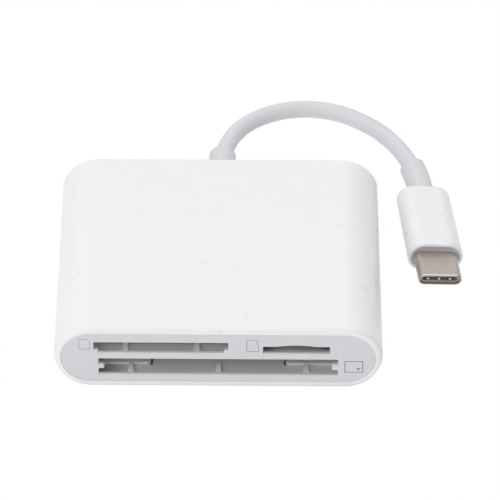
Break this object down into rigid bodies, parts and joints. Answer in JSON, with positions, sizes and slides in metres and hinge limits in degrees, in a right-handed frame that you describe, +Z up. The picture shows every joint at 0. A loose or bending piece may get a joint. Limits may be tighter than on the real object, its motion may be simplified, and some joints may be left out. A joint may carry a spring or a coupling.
{
  "type": "usb memory card reader",
  "caption": "Flat white card reader with full-round sides, memory card slots of several widths in an inset front bezel, and a short captive cable that ends in a USB-C plug.",
  "frame": {"origin": "middle of the housing's footprint, on the surface that it lies on", "axes": "+X to the right seen from the slots, +Y from the slots to the cable, +Z up"},
  "size_m": [0.0757, 0.0785, 0.014],
  "materials": {
    "white_gloss": "glossy white moulding",
    "bezel_white": "fine satin moulding",
    "boot_white": "soft satin moulding",
    "cable_white": "matte jacket",
    "header_ivory": "satin moulding",
    "socket_black": "satin moulding",
    "liner_brown": "satin moulding",
    "collar_grey": "satin moulding",
    "ink_grey": "pad print",
    "chip_black": "moulded package",
    "board_green": "coated laminate",
    "capacitor_tan": "fired ceramic",
    "wire_red": "insulated wire",
    "nickel": "nickel plate",
    "tin_steel": "tinned sheet",
    "gold_contact": "gold plate"
  },
  "bodies": {
    "root": {"housing": "white_gloss", "front_bezel": "bezel_white", "circuit_board": "board_green", "controller_chip": "chip_black", "crystal": "tin_steel", "voltage_regulator": "chip_black", "chip_capacitors": "capacitor_tan", "chip_resistors": "chip_black", "cf_pins": "gold_contact", "cf_header": "header_ivory", "sd_contacts": "gold_contact", "sd_socket_base": "socket_black", "sd_socket_cover": "tin_steel", "microsd_contacts": "gold_contact", "microsd_socket_base": "socket_black", "microsd_socket_cover": "tin_steel", "cable_strain_relief": "boot_white", "cable_wires": "wire_red", "cable": "cable_white", "plug_strain_relief": "boot_white", "plug_sleeve": "white_gloss", "plug_collar": "collar_grey", "plug_shell": "nickel", "plug_contacts": "gold_contact", "plug_latch": "tin_steel", "plug_insulator": "liner_brown", "plug_ground_springs": "tin_steel", "plug_board": "board_green", "plug_wires": "wire_red"}
  },
  "joints": []
}
